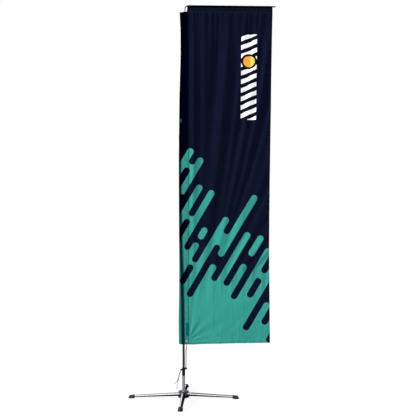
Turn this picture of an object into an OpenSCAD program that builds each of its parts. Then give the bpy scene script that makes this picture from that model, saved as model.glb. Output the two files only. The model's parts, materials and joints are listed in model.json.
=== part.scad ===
// Tall rectangular display flag on an L-shaped pole, standing in a folding cross base
// whose spigot turns on two ball bearings. Z is up, the floor is Z = 0, and the spigot
// turns about the Z axis. The flag hangs from the crossbar along +X.

/* [Flag] */
// Distance from the spigot axis to the free edge of the flag at the top
flag_reach = 724; // [650:1:800]
// Height of the flag's lower left corner above the floor
flag_bottom_z = 449; // [430:1:500]
// How much higher the lower right corner hangs than the lower left one
flag_bottom_rise = 14; // [0:1:30]
// How far the free edge pulls in at its waist
flag_waist = 27; // [0:1:40]
// Thickness of the cloth
cloth_t = 1.2; // [0.8:0.1:1.6]
// Width of the sleeve that the pole runs in
pole_pocket_w = 58; // [54:1:60]
// Depth of the sleeve that the pole runs in
pole_pocket_d = 26; // [24:1:30]
// Height of the hem that the crossbar runs in
bar_pocket_h = 50; // [30:1:60]
// Length of the sewn reinforcement tab
tab_len = 107; // [60:1:120]
// Width of the sewn reinforcement tab
tab_w = 24; // [15:1:30]

/* [Pole] */
// Height of the crossbar above the floor, where it meets the pole
crossbar_z = 3217; // [3150:1:3300]
// Downward slope of the crossbar towards its tip, in degrees
crossbar_slope = 1; // [0:0.1:3]
// Distance from the spigot axis to the crossbar's tip
crossbar_reach = 752; // [740:1:830]
// Bend radius of the elbow between pole and crossbar
elbow_bend_r = 25; // [20:1:30]
// Outer diameter of the lower pole section
pole_d = 19; // [18.6:0.1:20]
// Wall thickness of the lower pole section
pole_wall = 1.5; // [1.2:0.1:1.6]
// Length by which each pole section plugs into the one below it
plug_len = 80; // [50:1:100]

/* [Spigot] */
// Outer diameter of the turning chrome tube
tube_d = 24.5; // [24.4:0.1:26]
// Height of the pole's lower end above the floor
pole_bottom_z = 184.2; // [184.2:0.1:190]
// Diameter of the spigot that the pole is pushed onto
spigot_d = 15.9; // [15:0.1:15.9]
// Diameter of the fixed axle
axle_d = 10; // [8:0.1:10]

/* [Cross base] */
// Distance from the spigot axis to the outer end of a foot
base_reach = 455; // [420:1:520]
// Radius of the upper hub disc
hub_r = 43; // [42:0.5:50]
// Distance from the spigot axis to a leg's bolt
leg_pivot_r = 36; // [36:0.5:37]
// Width of a leg at the hub
leg_root_w = 34; // [30:1:34]
// Height of a leg at the hub
leg_root_h = 27.6; // [24:0.1:27.6]
// Width of a leg at its foot
leg_tip_w = 30; // [24:1:32]
// Height of a leg at its foot
leg_tip_h = 14; // [12:1:16]
// Wall thickness of a leg
leg_wall = 1.6; // [1.2:0.1:2]

/* [Cord] */
// Diameter of the elastic cord
cord_d = 3.5; // [3:0.1:3.9]
// Height of the cord clip's ring above the floor
clip_z = 234; // [234:1:240]

/* [Hidden] */
$fn = 64;

run_gap = 0.05;
seat_gap = 0.2;
press_gap = 0.02;

// Cross base, from the floor up.
lower_plate_z = 8;
lower_plate_h = 10.8;
plate_chamfer = 2;
head_recess = 8;
leg_pad_r = 11;
leg_pad_h = 0.5;
leg_clearance = 0.7;
lower_plate_r = hub_r + 1;
leg_space_z = lower_plate_z + lower_plate_h + leg_pad_h + leg_clearance;
leg_space_h = 28;
upper_cap_z = leg_space_z + leg_space_h;
upper_cap_h = 14;
hub_chamfer = 3;
cap_top_z = upper_cap_z + upper_cap_h;
boss_r = 17;
collar_r = 20;
collar_h = 12;
collar_top_z = cap_top_z + collar_h;
leg_mid_z = leg_space_z + leg_space_h / 2;
leg_rim_r = 8;
tip_rim_r = 6;
tip_mid_z = 15;
leg_tip_x = base_reach - 27;
foot_h = 5;
foot_r = 21;
foot_heel_x = base_reach - 32;
foot_crown_x = base_reach - 25;
foot_crown_r = 13;
foot_crown_h = 23;
foot_collar_x = base_reach - 53;
foot_collar_wall = 3;
foot_collar_rim = 8;
foot_collar_lift = 1.2;
foot_gap = 0.15;
bolt_r = 4;
bolt_end_z = lower_plate_z + 2;
bolt_head_r = 7;
bolt_head_h = 3.2;
bolt_head_taper = 2.5;
nut_r = 7.5;
nut_h = 6.2;
bush_r = 6.5;
axle_r = axle_d / 2;
axle_head_r = 9.8;
axle_head_h = 6.4;
axle_head_gap = 1.2;
axle_nut_h = 8;
axle_nut_seat_h = 1;

// Spindle.
tube_z = collar_top_z + 1;
tube_r = tube_d / 2;
bore_r = 11;
race_h = 6;
race_z = [tube_z + 3, tube_z + 71];
inner_race_r = 7.2;
outer_race_bore_r = 8.8;
spacer_r = 7;
snap_ring_bore_r = 10.2;
snap_ring_h = 1.2;
ball_r = 1.6;
ball_ring_r = 8;
ball_count = 10;
groove_r = ball_r + 0.12;
axle_end_gap = 2;
plug_z = tube_z + 89;
flange_h = 2;
tube_end_z = pole_bottom_z - seat_gap - flange_h;
spigot_end_z = pole_bottom_z + 116;

// Centre line of the pole and crossbar: stretches of [length, turn towards +X in degrees].
lean_top = 3.6;
bend_turn = 90 + crossbar_slope - lean_top;
bend_len = elbow_bend_r * bend_turn * PI / 180;
bend_rise = elbow_bend_r * (sin(lean_top + bend_turn) - sin(lean_top));
bowed = [[126, 0], [840, -1.9], [1000, 1.9], [750, lean_top]];
riser_len = (crossbar_z - bend_rise - start_point(bowed, 4)[1]) / cos(lean_top);
route = concat(bowed, [[riser_len, 0], [bend_len, bend_turn]]);
bar_start = start_point(route, 6);
bar_len = (crossbar_reach - bar_start[0]) / cos(crossbar_slope);
elbow_arm = 80;
bend_steps = 10;

plug_gap = 0.3;
pole_r = pole_d / 2;
lower_bore_r = pole_r - pole_wall;
middle_r = lower_bore_r - plug_gap;
middle_wall = 1.45;
middle_bore_r = middle_r - middle_wall;
upper_r = middle_bore_r - plug_gap;
upper_wall = 1.75;
upper_bore_r = upper_r - upper_wall;
elbow_r = upper_bore_r - plug_gap;
bar_bore_r = elbow_r + run_gap;
bar_wall = 1.1;
bar_r = bar_bore_r + bar_wall;
bar_inset = 5;
cap_plug_len = 16;
cap_lip_len = 6;
ferrule_len = [40, 36, 30];
ferrule_wall = 1.08;
ferrule_gap = 0.12;
sleeve_r = 13;
clip_r = 14;
clip_h = 16;
ear_x = 19;
ear_root_x = 11;
ear_t = 8;

// Flag.
seam_x = 16;
pocket_left_x = seam_x - pole_pocket_w;
bar_pocket_x = 28;
bar_pocket_d = 2 * (bar_r + cloth_t + 0.1);
pocket_top_z = crossbar_z - 52;
grommet_x = 23;
grommet_z = flag_bottom_z + 18;
grommet_r = 6.5;
grommet_hole_r = 3.4;
grommet_neck_r = grommet_hole_r + 1;
grommet_lip_y = 1.8;
grommet_edge_y = 1.2;
grommet_seat_y = 0.65;
tab_x = seam_x + 1.5;
tab_z = flag_bottom_z + 64;
tab_t = 1.2;

// Cord routes, from the hook's eye to the clip and from the clip to the free ends.
hook_wire_r = 1.3;
hook_r = 11;
eye_r = 3.6;
eye_z = grommet_z - 2 * hook_r - eye_r;
tension_route = [
    [20.5, -2, 252], [20.8, -2.5, 262], [21.5, -3, 280], [23, -3.5, 310], [24, -4, 345],
    [24.5, -4.5, 380], [24.2, -4.8, 410], [23.8, -4.5, 430], [23.5, -3.2, 438], [23.2, -1.2, 441],
    [22.8, 1.2, 441], [22.5, 3.2, 438], [22, 4.4, 431], [20.5, 4.6, 416], [17.5, 4, 392],
    [15, 3.5, 365], [13.5, 3, 335], [13.3, 3, 305], [14, 3, 280], [15.5, 2.5, 262], [16, 2.2, 252]
];
tail_long = [
    [-20, -2, 228], [-21.5, -2.4, 223], [-27, -4, 213], [-32, -5, 201], [-35, -6, 189],
    [-37, -6.5, 177], [-39, -7, 165], [-43, -7, 155], [-47, -7.5, 145], [-50, -8, 134],
    [-52, -8.5, 122], [-53.5, -9, 108], [-54.5, -9, 92], [-55, -9, 76]
];
tail_short = [
    [-20, 2.5, 228], [-22, 2.6, 223], [-29, 2.4, 214], [-35, 1.6, 203], [-39, 0.4, 191],
    [-41.5, -1, 179], [-43, -2.5, 167], [-45, -3.5, 156], [-49, -3.5, 146], [-55, -3, 138],
    [-62, -3, 131], [-70, -3, 124], [-78, -3, 118]
];
knot_pos = [-46, -5.3, 149];
knot_r = 5.2;

// Heading at the start of stretch i, in degrees from upright towards +X.
function start_heading(path, i) = i == 0 ? 0 : start_heading(path, i - 1) + path[i - 1][1];
// Radius of a stretch that turns.
function turn_radius(stretch) = stretch[0] * 180 / (PI * stretch[1]);
// Travel [x, z] along a stretch for a given length of it, which may be negative.
function travel(stretch, heading, length) =
    stretch[1] == 0
    ? length * [sin(heading), cos(heading)]
    : let (end = heading + stretch[1] * length / stretch[0])
      turn_radius(stretch) * [cos(heading) - cos(end), sin(end) - sin(heading)];
// Point [x, z] at the start of stretch i.
function start_point(path, i) =
    i == 0
    ? [0, pole_bottom_z]
    : start_point(path, i - 1) + travel(path[i - 1], start_heading(path, i - 1), path[i - 1][0]);

// A flattened round outline of the given size, centred on the origin.
module stadium(w, h) {
    long = max(w, h);
    short = min(w, h);
    rotate(w >= h ? 0 : 90) {
        square([long - short, short], center = true);
        for (side = [-1, 1]) translate([side * (long - short) / 2, 0]) circle(d = short);
    }
}

module stadium_ring(w, h, wall) {
    difference() {
        stadium(w, h);
        stadium(w - 2 * wall, h - 2 * wall);
    }
}

module ring(outer_r, inner_r, height) {
    difference() {
        cylinder(r = outer_r, h = height);
        translate([0, 0, -1]) cylinder(r = inner_r, h = height + 2);
    }
}

module torus(ring_r, wire_r, angle = 360) {
    rotate_extrude(angle = angle) translate([ring_r, 0]) circle(r = wire_r, $fn = 24);
}

// A disc with its lower and upper edges chamfered and a hole through it.
module chamfered_disc(r, height, hole_r, chamfer) {
    rotate_extrude() polygon([
        [hole_r, 0], [r - chamfer, 0], [r, chamfer],
        [r, height - chamfer], [r - chamfer, height], [hole_r, height]
    ]);
}

// A tube that starts at the origin, heads up and bends towards +X, or -X for a negative turn.
module arc_tube(radius, turn, outer_r, inner_r) {
    mirror([turn > 0 ? 1 : 0, 0, 0]) translate([-radius, 0, 0]) rotate([90, 0, 0])
        rotate_extrude(angle = abs(turn), $fn = 3600) translate([radius, 0]) difference() {
            circle(r = outer_r, $fn = 48);
            circle(r = inner_r, $fn = 48);
        }
}

// The pole's tube along stretch i of its centre line, begun a lead earlier.
module bowed_tube(i, lead, outer_r, inner_r) {
    stretch = route[i];
    heading = start_heading(route, i);
    start = start_point(route, i) + travel(stretch, heading, -lead);
    turn = stretch[1] * (stretch[0] + lead) / stretch[0];
    translate([start[0], 0, start[1]]) rotate([0, heading - stretch[1] * lead / stretch[0], 0])
        arc_tube(abs(turn_radius(stretch)), turn, outer_r, inner_r);
}

// A sleeve around the upper end of stretch i.
module ferrule(i, tube_outer_r, length) {
    end = start_point(route, i + 1);
    color("#8d8f92") translate([end[0], 0, end[1]]) rotate([0, start_heading(route, i + 1), 0])
        translate([0, 0, -length])
        ring(tube_outer_r + ferrule_gap + ferrule_wall, tube_outer_r + ferrule_gap, length);
}

// Places its children on the crossbar's axis, which becomes their Z axis.
module on_crossbar(distance) {
    translate([bar_start[0], 0, bar_start[1]]) rotate([0, 90 + crossbar_slope, 0])
        translate([0, 0, distance]) children();
}

// A tube swept along a list of points. The points never run along the reference direction.
module swept(points, d, reference = [0, 1, 0], sides = 8) {
    count = len(points);
    function ahead(i) = points[min(i + 1, count - 1)] - points[max(i - 1, 0)];
    function unit(v) = v / norm(v);
    function across(i) = unit(cross(ahead(i), reference));
    function other(i) = unit(cross(ahead(i), across(i)));
    rings = [
        for (i = [0 : count - 1]) for (k = [0 : sides - 1])
            points[i] + d / 2 * (cos(360 * k / sides) * across(i) + sin(360 * k / sides) * other(i))
    ];
    walls = [
        for (i = [0 : count - 2]) for (k = [0 : sides - 1])
            let (next = (k + 1) % sides)
            [i * sides + k, i * sides + next, (i + 1) * sides + next, (i + 1) * sides + k]
    ];
    start_cap = [[for (k = [sides - 1 : -1 : 0]) k]];
    end_cap = [[for (k = [0 : sides - 1]) (count - 1) * sides + k]];
    polyhedron(rings, concat(walls, start_cap, end_cap));
}

// Outer form of a leg that points along +X. A negative extra gives its cavity, and
// a positive one the pocket that it is pushed into.
module leg_form(extra) {
    root_r = leg_root_w / 2 + extra;
    root_half_h = leg_root_h / 2 + extra;
    root_rim = leg_rim_r + extra;
    tip_rim = tip_rim_r + extra;
    tip_side_y = leg_tip_w / 2 - tip_rim_r;
    tip_side_z = leg_tip_h / 2 - tip_rim_r;
    hull() {
        for (side = [-1, 1])
            translate([leg_pivot_r, 0, leg_mid_z + side * (root_half_h - root_rim)])
            rotate_extrude($fn = 32) translate([root_r - root_rim, 0]) circle(r = root_rim, $fn = 32);
        for (side = [-1, 1], level = [-1, 1])
            translate([leg_tip_x - 1, side * tip_side_y, tip_mid_z + level * tip_side_z])
            rotate([0, 90, 0]) cylinder(r = tip_rim, h = 1 + abs(extra), $fn = 32);
    }
}

module leg(direction) {
    rotate([0, 0, direction]) difference() {
        leg_form(0);
        leg_form(-leg_wall);
        translate([leg_pivot_r, 0, leg_space_z - 1]) cylinder(r = bolt_r + run_gap, h = leg_space_h + 2);
    }
}

module leg_bush(direction) {
    bush_h = leg_root_h - 2 * leg_wall;
    rotate([0, 0, direction]) translate([leg_pivot_r, 0, leg_mid_z - bush_h / 2])
        ring(bush_r, bolt_r + run_gap, bush_h);
}

module foot(direction) {
    side_y = leg_tip_w / 2 + foot_collar_wall - foot_collar_rim;
    side_z = leg_tip_h / 2 + foot_collar_wall - foot_collar_rim;
    rotate([0, 0, direction]) difference() {
        hull() {
            translate([base_reach - foot_r, 0, 0]) cylinder(r = foot_r, h = foot_h, $fn = 32);
            translate([foot_heel_x, 0, 0]) cylinder(r = foot_r, h = foot_h, $fn = 32);
            translate([foot_crown_x, 0, 0]) cylinder(r = foot_crown_r, h = foot_crown_h, $fn = 32);
            for (side = [-1, 1], level = [-1, 1])
                translate([foot_collar_x, side * side_y, tip_mid_z + foot_collar_lift + level * side_z])
                rotate([0, 90, 0]) cylinder(r = foot_collar_rim, h = 2, $fn = 32);
        }
        leg_form(foot_gap);
    }
}

module hub_lower_plate() {
    color("#17181a") difference() {
        union() {
            translate([0, 0, lower_plate_z])
                chamfered_disc(lower_plate_r, lower_plate_h, axle_r + run_gap, plate_chamfer);
            for (k = [0 : 3]) rotate([0, 0, 90 * k])
                translate([leg_pivot_r, 0, lower_plate_z + 2 * plate_chamfer])
                cylinder(r = leg_pad_r, h = lower_plate_h + leg_pad_h - 2 * plate_chamfer);
        }
        translate([0, 0, lower_plate_z - 1]) cylinder(r = axle_head_r + axle_head_gap, h = head_recess + 1);
        for (k = [0 : 3]) rotate([0, 0, 90 * k]) translate([leg_pivot_r, 0, lower_plate_z - 1]) {
            cylinder(r = bolt_r + run_gap, h = lower_plate_h + leg_pad_h + 2);
            rotate([0, 0, 30]) cylinder(r = nut_r + seat_gap, h = head_recess + 1, $fn = 6);
        }
    }
}

module hub_upper_cap() {
    color("#45484c") difference() {
        union() {
            translate([0, 0, upper_cap_z]) chamfered_disc(hub_r, upper_cap_h, axle_r + run_gap, hub_chamfer);
            translate([0, 0, lower_plate_z + lower_plate_h])
                ring(boss_r, axle_r + run_gap, upper_cap_z - lower_plate_z - lower_plate_h);
        }
        for (k = [0 : 3]) rotate([0, 0, 90 * k])
            translate([leg_pivot_r, 0, upper_cap_z - 1]) cylinder(r = bolt_r + run_gap, h = upper_cap_h + 2);
    }
}

module hub_collar() {
    color("#5a5d61") translate([0, 0, cap_top_z])
        chamfered_disc(collar_r, collar_h, axle_r + run_gap, hub_chamfer);
}

module leg_bolts() {
    color("silver") for (k = [0 : 3]) rotate([0, 0, 90 * k]) translate([leg_pivot_r, 0, 0]) {
        translate([0, 0, bolt_end_z]) cylinder(r = bolt_r, h = cap_top_z - bolt_end_z);
        translate([0, 0, cap_top_z])
            cylinder(r1 = bolt_head_r, r2 = bolt_head_r - bolt_head_taper, h = bolt_head_h);
    }
}

module leg_nuts() {
    color("silver") for (k = [0 : 3]) rotate([0, 0, 90 * k])
        translate([leg_pivot_r, 0, lower_plate_z + head_recess - nut_h]) rotate([0, 0, 30]) difference() {
            cylinder(r = nut_r, h = nut_h, $fn = 6);
            translate([0, 0, -1]) cylinder(r = bolt_r + run_gap, h = nut_h + 2);
        }
}

module axle_bolt() {
    color("silver") {
        translate([0, 0, lower_plate_z + head_recess - axle_head_h])
            cylinder(r = axle_head_r, h = axle_head_h, $fn = 6);
        translate([0, 0, lower_plate_z + head_recess])
            cylinder(r = axle_r, h = plug_z - axle_end_gap - lower_plate_z - head_recess);
    }
}

// The nut's round seat presses on the inner race only, so that the outer race turns freely.
module axle_nut() {
    color("silver") translate([0, 0, race_z[1] + race_h]) difference() {
        union() {
            cylinder(r = spacer_r, h = axle_nut_seat_h + 1);
            translate([0, 0, axle_nut_seat_h]) cylinder(r = axle_head_r, h = axle_nut_h, $fn = 6);
        }
        translate([0, 0, -1]) cylinder(r = axle_r + run_gap, h = axle_nut_h + axle_nut_seat_h + 2);
    }
}

module bearing_spacers() {
    color("lightgrey") {
        translate([0, 0, collar_top_z]) ring(spacer_r, axle_r + run_gap, race_z[0] - collar_top_z);
        translate([0, 0, race_z[0] + race_h])
            ring(spacer_r, axle_r + run_gap, race_z[1] - race_z[0] - race_h);
    }
}

module bearing_inner_races() {
    color("lightgrey") for (z = race_z) translate([0, 0, z]) difference() {
        ring(inner_race_r, axle_r + run_gap, race_h);
        translate([0, 0, race_h / 2]) torus(ball_ring_r, groove_r);
    }
}

module bearing_balls() {
    color("white") for (z = race_z, k = [0 : ball_count - 1])
        rotate([0, 0, 360 * k / ball_count])
        translate([ball_ring_r, 0, z + race_h / 2]) sphere(r = ball_r, $fn = 32);
}

module bearing_outer_races() {
    color("lightgrey") for (z = race_z) translate([0, 0, z]) difference() {
        ring(bore_r - press_gap, outer_race_bore_r, race_h);
        translate([0, 0, race_h / 2]) torus(ball_ring_r, groove_r);
    }
}

module retaining_rings() {
    color("dimgrey") {
        translate([0, 0, race_z[0] - seat_gap - snap_ring_h])
            ring(bore_r - press_gap, snap_ring_bore_r, snap_ring_h);
        translate([0, 0, race_z[1] + race_h + seat_gap])
            ring(bore_r - press_gap, snap_ring_bore_r, snap_ring_h);
    }
}

module spindle_tube() {
    color("#c9cccf") translate([0, 0, tube_z]) ring(tube_r, bore_r, tube_end_z - tube_z);
}

module spigot() {
    spigot_r = spigot_d / 2;
    color("#b8bbbe") rotate_extrude() polygon([
        [0, plug_z], [bore_r - press_gap, plug_z], [bore_r - press_gap, tube_end_z],
        [tube_r, tube_end_z], [tube_r, tube_end_z + flange_h], [spigot_r, tube_end_z + flange_h],
        [spigot_r, spigot_end_z - 3], [spigot_r - 2, spigot_end_z], [0, spigot_end_z]
    ]);
}

module pole_sleeve() {
    color("#1c1c1e") translate([0, 0, pole_bottom_z])
        chamfered_disc(sleeve_r, clip_z - 1 - pole_bottom_z, pole_r + run_gap, 1);
}

module pole_section_lower() {
    color("#2b2a29") {
        translate([0, 0, pole_bottom_z]) ring(pole_r, lower_bore_r, route[0][0]);
        bowed_tube(1, 0, pole_r, lower_bore_r);
    }
}

module pole_section_middle() {
    color("#2b2a29") bowed_tube(2, plug_len, middle_r, middle_bore_r);
}

module pole_section_upper() {
    color("#2b2a29") bowed_tube(3, plug_len, upper_r, upper_bore_r);
}

module elbow_rod() {
    base = start_point(route, 4);
    along = [sin(lean_top), cos(lean_top)];
    bend = [
        for (k = [0 : bend_steps])
            start_point(route, 5) + travel(route[5], lean_top, bend_len * k / bend_steps)
    ];
    tip = bar_start + elbow_arm * [cos(crossbar_slope), -sin(crossbar_slope)];
    line = concat([base - plug_len * along], bend, [tip]);
    color("#6e6353") swept([for (p = line) [p[0], 0, p[1]]], 2 * elbow_r, sides = 24);
}

module crossbar() {
    color("#5f594c") on_crossbar(bar_inset) ring(bar_r, bar_bore_r, bar_len - bar_inset - cap_lip_len);
}

module crossbar_cap() {
    cap_len = cap_plug_len + cap_lip_len;
    color("#3a382f") on_crossbar(bar_len - cap_len) rotate_extrude() polygon([
        [0, 0], [elbow_r, 0], [elbow_r, cap_plug_len], [bar_r, cap_plug_len],
        [bar_r, cap_len - 1], [bar_r - 1, cap_len], [0, cap_len]
    ]);
}

// Height of the lower edge of the crossbar's hem above a place along X.
function hem_z(x) =
    crossbar_z - (x - bar_start[0]) * tan(crossbar_slope) - bar_pocket_h + bar_pocket_d / 2 - 0.2;

module flag_panel() {
    panel_h = crossbar_z - flag_bottom_z;
    color("#0a0d24") difference() {
        translate([0, cloth_t / 2, 0]) rotate([90, 0, 0]) linear_extrude(cloth_t) polygon([
            [seam_x + 0.1, flag_bottom_z],
            [flag_reach - 20, flag_bottom_z + flag_bottom_rise],
            [flag_reach - flag_waist, flag_bottom_z + 0.27 * panel_h],
            [flag_reach - flag_waist / 2, flag_bottom_z + 0.63 * panel_h],
            [flag_reach, hem_z(flag_reach)],
            [bar_pocket_x, hem_z(bar_pocket_x)],
            [seam_x + 0.1, pocket_top_z]
        ]);
        translate([grommet_x, 0, grommet_z]) rotate([90, 0, 0])
            cylinder(r = grommet_neck_r + 0.1, h = 10, center = true);
    }
}

module pole_pocket() {
    color("#101430") translate([(pocket_left_x + seam_x) / 2, 0, flag_bottom_z])
        linear_extrude(pocket_top_z - flag_bottom_z)
        stadium_ring(pole_pocket_w, pole_pocket_d, cloth_t);
}

module crossbar_pocket() {
    slope_x = (bar_pocket_x - bar_start[0]) / cos(crossbar_slope);
    run = (flag_reach - bar_pocket_x) / cos(crossbar_slope);
    color("#05060f") translate([bar_start[0], 0, crossbar_z]) rotate([0, crossbar_slope, 0])
        translate([slope_x, 0, 0]) rotate([90, 0, 90]) linear_extrude(run)
        translate([0, (bar_pocket_d - bar_pocket_h) / 2])
        stadium_ring(bar_pocket_d, bar_pocket_h, cloth_t);
}

module reinforcement_tab() {
    color("#045b67") translate([tab_x, -cloth_t / 2 - tab_t, tab_z]) cube([tab_w, tab_t, tab_len]);
}

module grommet() {
    color("#c9a66b") translate([grommet_x, 0, grommet_z]) rotate([90, 0, 0]) rotate_extrude() polygon([
        [grommet_hole_r, -grommet_lip_y], [grommet_r - 1, -grommet_lip_y],
        [grommet_r, -grommet_edge_y], [grommet_r, -grommet_seat_y],
        [grommet_neck_r, -grommet_seat_y], [grommet_neck_r, grommet_seat_y],
        [grommet_r, grommet_seat_y], [grommet_r, grommet_edge_y],
        [grommet_r - 1, grommet_lip_y], [grommet_hole_r, grommet_lip_y]
    ]);
}

module tension_hook() {
    color("#26262a") {
        translate([grommet_x, 0, grommet_z - hook_r]) rotate([0, 90, 0]) torus(hook_r, hook_wire_r);
        translate([grommet_x, 0, eye_z]) rotate([90, 0, 0]) torus(eye_r, hook_wire_r);
    }
}

module tension_cord() {
    color("#a9a6a3") swept(tension_route, cord_d, [1, 0, 0]);
}

// A lug that the cord is tied to, at a level above the foot of the clip's ring.
module clip_ear(side, height, level) {
    ear_end_x = ear_x + 2;
    translate([0, 0, clip_z + level]) difference() {
        rotate([90, 0, 0]) translate([0, 0, -ear_t / 2]) linear_extrude(ear_t) {
            translate([side > 0 ? ear_root_x : -ear_end_x, 0]) square([ear_end_x - ear_root_x, height]);
            translate([side * ear_end_x, height / 2]) circle(d = height);
        }
        cylinder(r = ear_root_x, h = height + 1);
        translate([0, 0, -level - height]) cylinder(r = sleeve_r + 0.1, h = height);
    }
}

module cord_clip() {
    color("#1c1c1e") {
        translate([0, 0, clip_z]) chamfered_disc(clip_r, clip_h, pole_r + run_gap, 1);
        clip_ear(1, clip_h, 2);
        clip_ear(-1, clip_h - 4, -6);
    }
}

module cord_tail_long() {
    color("#a9a6a3") swept(tail_long, cord_d);
}

module cord_tail_short() {
    color("#a9a6a3") swept(tail_short, cord_d);
}

module cord_knot() {
    color("#3b3836") translate(knot_pos) sphere(r = knot_r, $fn = 32);
}

hub_lower_plate();
hub_upper_cap();
hub_collar();
leg_bolts();
leg_nuts();
axle_bolt();
axle_nut();
bearing_spacers();
bearing_inner_races();
bearing_balls();
color("#b9bcc0") leg(0);  // leg_right
color("#b9bcc0") leg(90);  // leg_rear
color("#b9bcc0") leg(180);  // leg_left
color("#b9bcc0") leg(270);  // leg_front
color("white") leg_bush(0);  // leg_right_bush
color("white") leg_bush(90);  // leg_rear_bush
color("white") leg_bush(180);  // leg_left_bush
color("white") leg_bush(270);  // leg_front_bush
color("#2c3236") foot(0);  // foot_right
color("#2c3236") foot(90);  // foot_rear
color("#2c3236") foot(180);  // foot_left
color("#2c3236") foot(270);  // foot_front
spindle_tube();
bearing_outer_races();
retaining_rings();
spigot();
pole_sleeve();
pole_section_lower();
pole_section_middle();
pole_section_upper();
ferrule(1, pole_r, ferrule_len[0]);  // ferrule_lower
ferrule(2, middle_r, ferrule_len[1]);  // ferrule_middle
ferrule(3, upper_r, ferrule_len[2]);  // ferrule_upper
elbow_rod();
crossbar();
crossbar_cap();
flag_panel();
pole_pocket();
crossbar_pocket();
reinforcement_tab();
grommet();
tension_hook();
tension_cord();
cord_clip();
cord_tail_long();
cord_tail_short();
cord_knot();
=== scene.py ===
"""Looks of a tall display flag on an L-shaped pole in a folding cross base.

Lengths are in metres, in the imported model's frame: Z up, the floor at Z = 0, the spigot on the Z axis and the
flag along +X. The cloth hangs by simulation and is pulled tight by its cord. The rigid pieces are the packed
ones with worked materials.
"""

import math

import bpy
import numpy as np
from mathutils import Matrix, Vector
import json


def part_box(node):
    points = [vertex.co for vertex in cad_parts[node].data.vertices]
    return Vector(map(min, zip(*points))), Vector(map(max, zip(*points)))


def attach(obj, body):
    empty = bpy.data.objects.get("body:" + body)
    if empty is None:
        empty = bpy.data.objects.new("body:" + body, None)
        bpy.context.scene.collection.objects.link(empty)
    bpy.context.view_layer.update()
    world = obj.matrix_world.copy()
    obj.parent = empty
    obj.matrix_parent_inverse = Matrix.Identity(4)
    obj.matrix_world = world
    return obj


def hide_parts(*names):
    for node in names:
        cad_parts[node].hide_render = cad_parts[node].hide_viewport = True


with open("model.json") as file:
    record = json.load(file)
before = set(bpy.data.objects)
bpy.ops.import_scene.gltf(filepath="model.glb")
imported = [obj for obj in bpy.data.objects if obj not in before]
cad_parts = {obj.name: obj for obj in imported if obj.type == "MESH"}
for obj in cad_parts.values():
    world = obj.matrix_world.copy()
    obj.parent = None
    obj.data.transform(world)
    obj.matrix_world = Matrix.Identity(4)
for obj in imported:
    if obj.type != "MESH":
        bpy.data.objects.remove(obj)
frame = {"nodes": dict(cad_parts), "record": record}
nodes = frame["nodes"]
scene = bpy.context.scene
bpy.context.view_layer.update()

# ---------------------------------------------------------------- camera

CAMERA_DISTANCE = 6.8
CAMERA_HEIGHT = 1.56
CAMERA_SIDE = 0.2
CAMERA_TURN = math.radians(1.7)
CAMERA_LENS = 71.75


def make_camera():
    """A level camera far off in front, with a long lens."""
    forward = Vector((-math.sin(CAMERA_TURN), math.cos(CAMERA_TURN), 0))
    right = Vector((math.cos(CAMERA_TURN), math.sin(CAMERA_TURN), 0))
    camera = bpy.data.objects.new("camera", bpy.data.cameras.new("camera"))
    scene.collection.objects.link(camera)
    camera.data.lens = CAMERA_LENS
    camera.location = CAMERA_SIDE * right - CAMERA_DISTANCE * forward + Vector((0, 0, CAMERA_HEIGHT))
    camera.rotation_euler = (math.radians(90), 0, CAMERA_TURN)
    scene.camera = camera


make_camera()

# ---------------------------------------------------------------- mesh helpers


def new_object(name, points, faces, uvs=None, smooth=True):
    """A mesh object. uvs gives one UV pair per point."""
    mesh = bpy.data.meshes.new(name)
    mesh.from_pydata([tuple(map(float, p)) for p in points], [], [tuple(map(int, f)) for f in faces])
    if uvs is not None:
        layer = mesh.uv_layers.new(name="cut")
        corners = np.zeros(len(mesh.loops), np.int32)
        mesh.loops.foreach_get("vertex_index", corners)
        layer.data.foreach_set("uv", np.asarray(uvs, np.float32)[corners].ravel())
    mesh.polygons.foreach_set("use_smooth", [smooth] * len(mesh.polygons))
    mesh.update()
    obj = bpy.data.objects.new(name, mesh)
    scene.collection.objects.link(obj)
    return obj


def smooth_route(route, gap):
    """Points about gap apart on a smooth line through the route's points."""
    p = np.array(route, float)
    p = np.vstack([2 * p[0] - p[1], p, 2 * p[-1] - p[-2]])
    line = []
    for a, b, c, d in zip(p[:-3], p[1:-2], p[2:-1], p[3:]):
        steps = max(2, round(np.linalg.norm(c - b) / gap))
        square, cube = 2 * a - 5 * b + 4 * c - d, 3 * b - a - 3 * c + d
        for t in np.arange(steps) / steps:
            line.append(0.5 * (2 * b + (c - a) * t + square * t**2 + cube * t**3))
    line.append(p[-2])
    return np.array(line)


def tube(name, line, radius, sides=16):
    """A round tube along a line. Its UV map holds metres round it and along it."""
    ahead = np.gradient(line, axis=0)
    ahead /= np.linalg.norm(ahead, axis=1)[:, None]
    across = np.cross(ahead[0], (0.3, 1, 0.2))
    turn = 2 * np.pi * np.arange(sides) / sides
    travelled = np.concatenate([[0], np.cumsum(np.linalg.norm(np.diff(line, axis=0), axis=1))])
    points, uvs = [], []
    for i, (point, direction) in enumerate(zip(line, ahead)):
        across = across - direction * (across @ direction)
        across /= np.linalg.norm(across)
        other = np.cross(direction, across)
        for angle in turn:
            points.append(point + radius * (np.cos(angle) * across + np.sin(angle) * other))
            uvs.append((angle * radius, travelled[i]))
    faces = []
    for i in range(len(line) - 1):
        for k in range(sides):
            n = (k + 1) % sides
            faces.append((i * sides + k, i * sides + n, (i + 1) * sides + n, (i + 1) * sides + k))
    last = (len(line) - 1) * sides
    faces.append(tuple(range(sides - 1, -1, -1)))
    faces.append(tuple(last + k for k in range(sides)))
    return new_object(name, points, faces, uvs)


# ---------------------------------------------------------------- cords

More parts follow.
